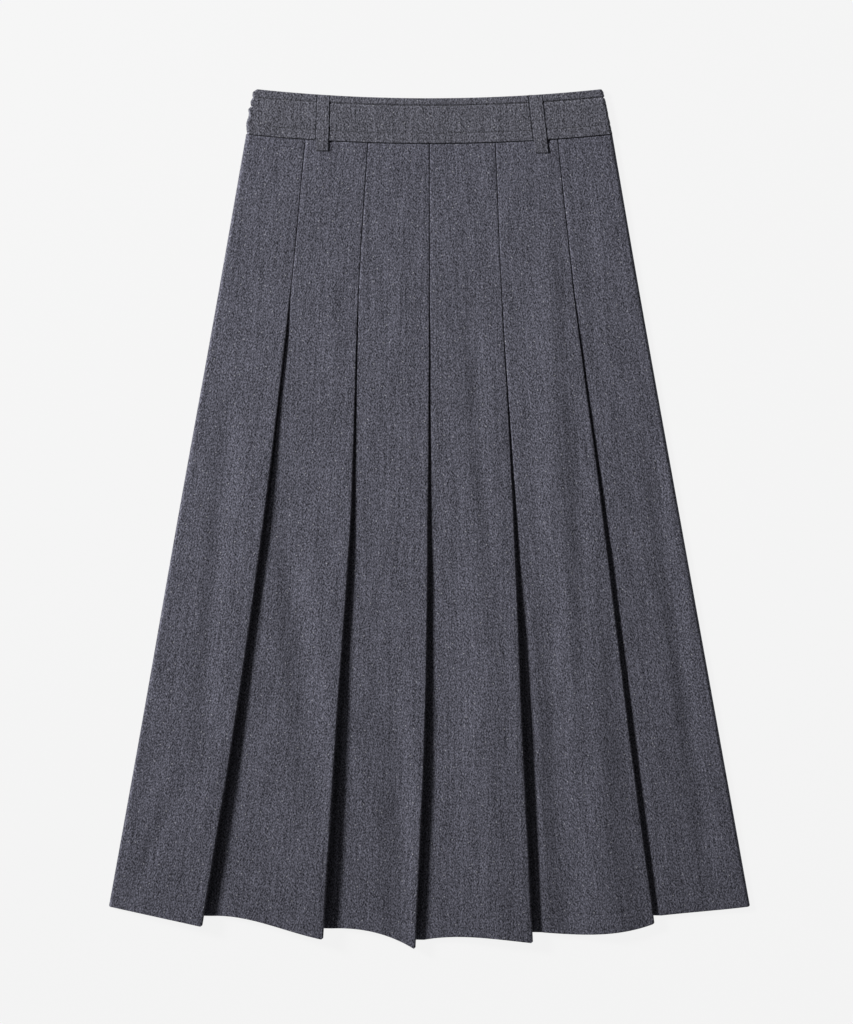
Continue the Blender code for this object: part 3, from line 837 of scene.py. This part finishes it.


# One thread for every row of stitches, darkened with painted shade
shade_darkened_thread = sewing_thread("spun_polyester_thread_shade_darkened", THREAD_SHADED_DARK, THREAD_SHADED_PALE)
hem_row = np.argmin(np.abs(front_rows - (1 - HEM_LINE / (LEVELS[0] - LEVELS[-1]))))
on_hem = front_walls[0][hem_row]
facing_up = np.gradient(on_hem[:, 0]) > LEVEL_SLOPE
picks = []
for k in range(len(FOLDS) + 1):
    in_panel = facing_up & (on_hem[:, 2] > FRONT_TOP) & (front_panels == k)
    row = on_hem[in_panel]
    picks.append(stitches(spaced(row, PICK_STEP), PICK_LENGTH, PICK_DIP))
picks = np.concatenate(picks)
picks[..., 2] -= PICK_SINK
hem_picks = threads("hem_stitches", picks, PICK_THREAD, (0, 0, 1), shade_darkened_thread)
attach(hem_picks, "root")

# Waistband
# Two contoured strips of the flannel, fused inside and doubled, so 2.2 mm thick with soft rolled edges. They
# are sewn on above the pleats; the front one turns down at the sides. A line of stitches runs below the top
# edge in a groove of its own, and a fainter one above the seam.
TOP_EDGE_Y = 411.4
HALF_TOP_EDGE = 170.0
BAND_WALL = 2.2
BACK_BAND_Z = 2.6
FRONT_BAND_Z = BACK_BAND_Z + BAND_WALL + GAP
BAND_END_Z = 1.5
BAND_SHOULDER = 1.8
BACK_BAND_INSET = 3.7
BAND_EDGE_ROUND = 1.1
BAND_LOW_EDGE_ROUND = 0.7
TOP_STITCH_DROP = 7.25
TOP_STITCH_DROP_AT_ENDS = 8.2
LOW_STITCH_RISE = 10.0
TOP_GROOVE = 1.2
LOW_GROOVE = 0.5
GROOVE_HALF = 0.8
GROOVE_ROWS = (-1.2, -0.8, -0.4, 0, 0.4, 0.8, 1.2)
BAND_EDGE_ROWS = (0, 0.03, 0.12, 0.3, 0.6)
BAND_BED = 0.6
BAND_BED_FADE = 0.7
BAND_FADE = 4.0
PUCKER = 0.5
PUCKER_PITCH = 7.5
PUCKER_REACH = 13.0
PUCKER_SLANT = 9
PUCKER_START = 3
BAND_BILLOW = 0.1
BAND_WAVES = (15, 41)
BAND_END_COLUMNS = np.array([0, 0.4, 1, 2, 3.5, 5, 7, 9, 12, 15, 18])
STITCH_REACH = 166.0
STITCH_STEP = 3.3
STITCH_LENGTH = 2.5
STITCH_THREAD = 0.22

# Shares of the band's width where the edges of the loops press it
LOOP_EDGE_SHARES = ((0.168, 0.189), (0.203, 0.223), (0.786, 0.797), (0.825, 0.837))
LOOP_EDGE_STEP = 0.0012

# Outline of the front band's ends from the waist seam to the top edge; the left one is puckered
BandEnd = namedtuple("BandEnd", "share left right")
BAND_ENDS = [
    BandEnd(0.0, -178.4, 179.8),
    BandEnd(0.13, -179.0, 178.7),
    BandEnd(0.21, -179.3, 177.9),
    BandEnd(0.45, -176.7, 175.8),
    BandEnd(0.54, -177.3, 175.0),
    BandEnd(0.63, -174.6, 174.2),
    BandEnd(0.7, -175.2, 173.5),
    BandEnd(0.8, -173.5, 172.5),
    BandEnd(0.92, -173.0, 171.2),
    BandEnd(1.0, -169.5, 169.5),
]


def top_edge(x):
    """The band's top edge: a parabola, lowest at the centre, like the seam's."""
    return TOP_EDGE_Y + SIDE_RISE * (x / HALF_TOP_EDGE) ** 2


def eased_steps(t, at, values):
    """Through the values at the places at, eased from each to the next."""
    at = np.asarray(at)
    values = np.asarray(values)
    i = np.clip(np.searchsorted(at, t, side="right") - 1, 0, len(at) - 2)
    return between(ease((t - at[i]) / (at[i + 1] - at[i])), values[i], values[i + 1])


def band_rows():
    """Row shares from seam to top edge: each millimetre, closer at both edges and both stitch lines."""
    depth = TOP_EDGE_Y - SEAM_Y
    lines = (LOW_STITCH_RISE, depth - TOP_STITCH_DROP)
    grooves = [line + step for line in lines for step in GROOVE_ROWS]
    edges = np.array(BAND_EDGE_ROWS)
    rows = np.concatenate([np.arange(1, depth, 1.0), grooves, edges, depth - edges])
    return np.unique(np.round(rows / depth, 5))


def stitch_lines(x):
    """Where the two rows of stitches run. The upper one's drop from the edge grows with x squared."""
    drop = between((x / HALF_TOP_EDGE) ** 2, TOP_STITCH_DROP, TOP_STITCH_DROP_AT_ENDS)
    return top_edge(x) - drop, waist_seam(x) + LOW_STITCH_RISE


def groove_depths(x):
    """How deep each row has pulled in.

    The upper one is weakest near the zip and strongest beyond the right loop, and the lower one is strongest
    in a stretch right of the centre. Each change is eased.
    """
    past_zip = ease((x + 130) / 60)
    past_right_loop = ease((x - 105) / 20)
    right_of_centre = ease((35 - np.abs(x - 45)) / 30)
    upper = between(past_zip, 0.7, 0.95) + 0.2 * past_right_loop
    lower = between(right_of_centre, 0.5, 1.0)
    return TOP_GROOVE * upper, LOW_GROOVE * lower


def dip(x, y):
    """The grooves of the two rows, each a bell curve across its line."""
    total = 0 * x
    for line, depth in zip(stitch_lines(x), groove_depths(x)):
        total = total + depth * np.exp(-(((y - line) / GROOVE_HALF) ** 2))
    return total


def loop_beds(x, y):
    """How deep the front loops press the band: evenly under a loop, and eased out beside it."""
    total = 0 * x
    for loop in FRONT_LOOPS:
        down = (TOP_EDGE_Y - y) / (TOP_EDGE_Y - loop.y_bottom)
        outside = np.abs(x - between(down, loop.x_top, loop.x_bottom)) - loop.width / 2
        total = total + BAND_BED * ease(1 - outside / LOOP_BED_SIDE)
    return total


def waistband(name, node, inset, height, turn_down):
    """A band of that inset at its ends and that height of its middle surface.

    The outer face dips along the stitches. On the front one it also billows by two sine waves and puckers
    at the left end by a sine that fades exponentially.
    """
    share = band_rows()[:, None]
    at = [row.share for row in BAND_ENDS]
    left = eased_steps(share, at, [row.left for row in BAND_ENDS]) + inset
    right = eased_steps(share, at, [row.right for row in BAND_ENDS]) - inset
    shoulder = BAND_SHOULDER if turn_down else 0.0
    angle = SHOULDER_ANGLES if turn_down else np.zeros(0)
    reach = shoulder * (1 - np.cos(angle))
    near_end = BAND_END_COLUMNS / (2 * HALF_SEAM)
    beside_loops = [np.arange(first, last, LOOP_EDGE_STEP) for first, last in LOOP_EDGE_SHARES]
    flat = [near_end, np.linspace(0.06, 0.94, 180), *beside_loops, 1 - near_end]
    flat = np.unique(np.concatenate(flat))
    x = [left + reach, between(flat, left + shoulder, right - shoulder), (right - reach)[:, ::-1]]
    x = np.concatenate(x, axis=1)
    side = BAND_END_Z + (height - BAND_END_Z) * np.sin(angle)
    z = np.concatenate([side, np.full(len(flat), height), side[::-1]]) + 0 * x
    y = between(share, waist_seam(x) + GAP / 2, top_edge(x))
    from_edge = np.minimum(y - y[:1], y[-1:] - y)
    if not turn_down:
        from_edge = np.minimum(from_edge, np.minimum(x - x[:, :1], x[:, -1:] - x))
    fade = ease(from_edge / BAND_FADE)
    thick = np.minimum(rounded(from_edge, BAND_EDGE_ROUND), 1)
    at_seam = rounded(y - y[:1], BAND_LOW_EDGE_ROUND)
    thick = np.where(y - y[:1] < BAND_EDGE_ROUND, at_seam, thick)
    outer = BAND_WALL / 2 * thick
    inner = outer
    outer = outer - fade * dip(x, y)
    if turn_down:
        billow = np.sin(x / BAND_WAVES[0] + 2 * share) * np.sin(x / BAND_WAVES[1] - 3 * share) - 1
        inward = x - x[:, :1]
        pucker = np.sin(2 * np.pi * (y - SEAM_Y) / PUCKER_PITCH + inward / PUCKER_SLANT) - 1
        pucker = pucker / 2 * np.exp(-inward / PUCKER_REACH) * ease((inward - 1) / PUCKER_START)
        outer = outer + fade * (BAND_BILLOW * billow + PUCKER * pucker)
        outer = outer - ease(from_edge / BAND_BED_FADE) * loop_beds(x, y)
    above, below = (outer, inner) if turn_down else (inner, outer)
    faces = wall(np.stack([x, y, z], axis=2), (0, -1, 0), above[..., None], below[..., None])
    cut = np.stack([x, y], axis=2) * MM
    band = cloth_piece(name, faces, cut, fused_flannel)
    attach(band, "root")
    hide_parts(node)


# Fused and pressed, the same flannel looks a little paler
fused_flannel = wool_flannel("fused_grey_wool_flannel", BAND_DARK, BAND_PALE)
waistband("back_band_cloth", "waistband_back", BACK_BAND_INSET, BACK_BAND_Z, False)
waistband("front_band_cloth", "waistband_front", BAND_WALL / 2, FRONT_BAND_Z, True)

# The stitches lie in their grooves, on the front's upper face and on the back's lower one
stitch_x = np.arange(-STITCH_REACH, STITCH_REACH, STITCH_STEP)
rows = []
for face, outward in ((FRONT_BAND_Z + BAND_WALL / 2, 1), (BACK_BAND_Z - BAND_WALL / 2, -1)):
    for line, depth in zip(stitch_lines(stitch_x), groove_depths(stitch_x)):
        centres = np.stack([stitch_x, line, face - outward * (depth - STITCH_THREAD / 2)], axis=1)
        rows.append(stitches(centres, STITCH_LENGTH, 2 * STITCH_THREAD * outward))
band_stitches = threads("band_stitches", np.concatenate(rows), STITCH_THREAD, (0, 0, 1), shade_darkened_thread)
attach(band_stitches, "root")

# Belt loops
# Straps of the flannel, folded to 12 or 13 mm, pressed flat and sewn on at the top edge. Each front one runs
# down over the band to just below the seam, turns under itself and is tacked. The back ones are hidden.
STRAP = 0.6
STRAP_EDGE = 0.4
STRAP_EDGE_COLUMNS = np.array([0, 0.03, 0.1, 0.22, 0.4])
STRAP_CLEAR = 0.05
BACK_LOOPS = {"belt_loop_back_left": -104.0, "belt_loop_back_right": 104.0}
BACK_LOOP_WIDTH = 12.4
BACK_STRAP = BAND_END_Z - GAP
LOOP_INSET = 0.4
LOOP_TACK_Y = 379.3
LOOP_TACK = 1.5
LOOP_BOW = 0.6
LOOP_RISE_FROM = 0.78
LOOP_SUNK_IN_BAND = 0.45
LOOP_SUNK_IN_SKIRT = 0.18
LOOP_END_PUFF = 0.6
STEP_START = 0.1
STEP_END = 3.0
TACK_THREAD = 0.15
TACK_MARGIN = 1.5
TACK_STITCHES = 4
TACK_LENGTH = 2.2
TACK_SINK = 0.4


def strap_across(width):
    """Places across a strap, closer at its two rounded edges."""
    edge = STRAP_EDGE_COLUMNS
    return np.concatenate([edge, np.linspace(1.0, width - 1.0, 9), width - edge[::-1]]) - width / 2


def strap_piece(name, node, x, y, z, across, thickness):
    """A strap from its middle surface: rows across it and columns along it, rounded at both edges."""
    points = np.stack([x, y + 0 * x, z + 0 * x], axis=2)
    from_edge = across[-1] - np.abs(across)
    half = (thickness / 2 * rounded(from_edge, STRAP_EDGE))[:, None, None]
    length = np.linalg.norm(np.diff(points[len(across) // 2], axis=0), axis=1)
    run = np.concatenate([[0], np.cumsum(length)])
    cut = np.stack([across[:, None] + 0 * x, run[None, :] + 0 * x], axis=2) * MM
    strap = cloth_piece(name, wall(points, (1, 0, 0), half, half), cut, fused_flannel)
    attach(strap, "root")
    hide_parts(node)


tacks = []
# A front loop's path: down over the band to the tack, on over the seam, round its end and back up inside
for loop in FRONT_LOOPS:
    centre = (loop.x_top + loop.x_bottom) / 2
    seam = waist_seam(centre)
    band_face = FRONT_BAND_Z + BAND_WALL / 2 - LOOP_SUNK_IN_BAND
    skirt_face = FRONT_TOP + CLOTH / 2 - LOOP_SUNK_IN_SKIRT
    double = STRAP + STRAP_CLEAR
    on_band = STRAP_CLEAR + STRAP / 2
    step = np.linspace(0, 1, 6)
    down_step = between(step, seam - STEP_START, seam - STEP_END)
    step_face = between(ease(step), band_face, skirt_face)
    free = np.linspace(0, 1, 25)
    y_free = between(free, top_edge(centre) - LOOP_INSET, LOOP_TACK_Y + LOOP_TACK)
    climbed = ease((free - LOOP_RISE_FROM) / (1 - LOOP_RISE_FROM))
    free_away = on_band + double * climbed + LOOP_BOW * np.sin(np.pi * free)
    y_lower = np.linspace(LOOP_TACK_Y, seam - STEP_START, 9)[:-1]
    bend_y = loop.y_bottom + STRAP / 2 + double / 2
    angle = np.radians(np.linspace(90, -90, 13))
    bend = bend_y - double / 2 * np.cos(angle)
    bend_away = on_band + (double + LOOP_END_PUFF) / 2 * (1 + np.sin(angle))
    y = np.concatenate([y_free, y_lower, down_step, bend, down_step[::-1], y_lower[::-1]])
    upper_face = np.full(len(y_free) + len(y_lower), band_face)
    face = [upper_face, step_face, 0 * bend + skirt_face, step_face[::-1], 0 * y_lower + band_face]
    face = np.concatenate(face)
    doubled = np.full(len(y_lower) + len(step), on_band + double)
    away = np.concatenate([free_away, doubled, bend_away, doubled - double])
    middle_x = between((y_free[0] - y) / (y_free[0] - loop.y_bottom), loop.x_top, loop.x_bottom)
    across = strap_across(loop.width)
    x = middle_x + across[:, None]
    strap_piece(loop.name, loop.node, x, y, face + away, across, STRAP)
    tack_reach = loop.width / 2 - TACK_MARGIN
    tack_x = np.linspace(-tack_reach, tack_reach, TACK_STITCHES) + middle_x[len(y_free) - 1]
    tack_z = band_face + on_band + double + STRAP / 2 + 0 * tack_x
    tack_row = np.stack([tack_x, LOOP_TACK_Y + 0 * tack_x, tack_z], axis=1)
    tacks.append(stitches(tack_row, TACK_LENGTH, TACK_SINK))
loop_tacks = threads("loop_tacks", np.concatenate(tacks), TACK_THREAD, (0, 0, 1), shade_darkened_thread)
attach(loop_tacks, "root")
for node, middle_x in BACK_LOOPS.items():
    y = between(np.linspace(0, 1, 12), top_edge(middle_x) - LOOP_INSET, waist_seam(middle_x) + LOOP_INSET)
    across = strap_across(BACK_LOOP_WIDTH)
    x = middle_x + across[:, None] + 0 * y
    strap_piece(node + "_cloth", node, x, y, BACK_STRAP / 2 + 0 * y, across, BACK_STRAP)

# Table, light and camera
# A pale table that glows, so that shadows on it stay faint, one large soft lamp low at the upper left with a
# grid that aims it at the waist, and a little light from all round. The camera looks straight down through a
# long lens.
TABLE_HALF = 3.0
TABLE_GREY = "f5f5f5"
PIXEL = 0.98
PHOTO_WIDTH = 853
PHOTO_HEIGHT = 1024
ORIGIN_PIXEL = (429.0, 518.0)
CAMERA_HEIGHT = 12.0
CLOTH_TOP = 0.005
SENSOR = 36.0
LAMP_TOWARDS = np.array([-0.80, 0.30, 0.52])
LAMP_AIM = np.array([-0.10, 0.45, 0.0])
LAMP_DISTANCE = 5.0
LAMP_SIZE = 1.3
LAMP_SPREAD = 45.0
LAMP_POWER = 30.0
ROUND_LIGHT = 0.11
TABLE_GLOW = 0.957

table_mesh = bpy.data.meshes.new("table")
corners = [(-TABLE_HALF, -TABLE_HALF, 0), (TABLE_HALF, -TABLE_HALF, 0)]
corners += [(TABLE_HALF, TABLE_HALF, 0), (-TABLE_HALF, TABLE_HALF, 0)]
table_mesh.from_pydata(corners, [], [(0, 1, 2, 3)])
table = bpy.data.objects.new("table", table_mesh)
bpy.context.scene.collection.objects.link(table)
# A matt board lit from below: its own colour is nearly black, and the glow gives it its pale grey
board_finish = {
    "Base Color": (0.04, 0.04, 0.04, 1),
    "Roughness": 1.0,
    "Specular IOR Level": 0.0,
    "Emission Color": linear(TABLE_GREY),
    "Emission Strength": TABLE_GLOW,
}
pale_board = plain_material("pale_matt_board", board_finish)[0]
table_mesh.materials.append(pale_board)

lamp = bpy.data.lights.new("soft_lamp", "AREA")
lamp.shape = "DISK"
lamp.size = LAMP_SIZE
lamp.energy = LAMP_POWER
lamp.spread = np.radians(LAMP_SPREAD)
lamp_object = bpy.data.objects.new("soft_lamp", lamp)
lamp_object.location = LAMP_AIM + LAMP_TOWARDS / np.linalg.norm(LAMP_TOWARDS) * LAMP_DISTANCE
lamp_object.rotation_mode = "QUATERNION"
lamp_object.rotation_quaternion = Vector(LAMP_TOWARDS).to_track_quat("Z", "Y")
bpy.context.scene.collection.objects.link(lamp_object)

world = bpy.data.worlds.new("round_light")
world.use_nodes = True
world.node_tree.nodes["Background"].inputs["Color"].default_value = (1, 1, 1, 1)
world.node_tree.nodes["Background"].inputs["Strength"].default_value = ROUND_LIGHT
bpy.context.scene.world = world

camera = bpy.data.cameras.new("overhead")
camera.sensor_width = SENSOR
camera.lens = SENSOR * CAMERA_HEIGHT / (PHOTO_HEIGHT * PIXEL * MM)
camera.clip_end = 2 * CAMERA_HEIGHT
camera_object = bpy.data.objects.new("overhead", camera)
camera_object.location = (
    (PHOTO_WIDTH / 2 - ORIGIN_PIXEL[0]) * PIXEL * MM,
    (ORIGIN_PIXEL[1] - PHOTO_HEIGHT / 2) * PIXEL * MM,
    CAMERA_HEIGHT + CLOTH_TOP,
)
bpy.context.scene.collection.objects.link(camera_object)
bpy.context.scene.camera = camera_object
bpy.context.scene.view_settings.view_transform = "Standard"
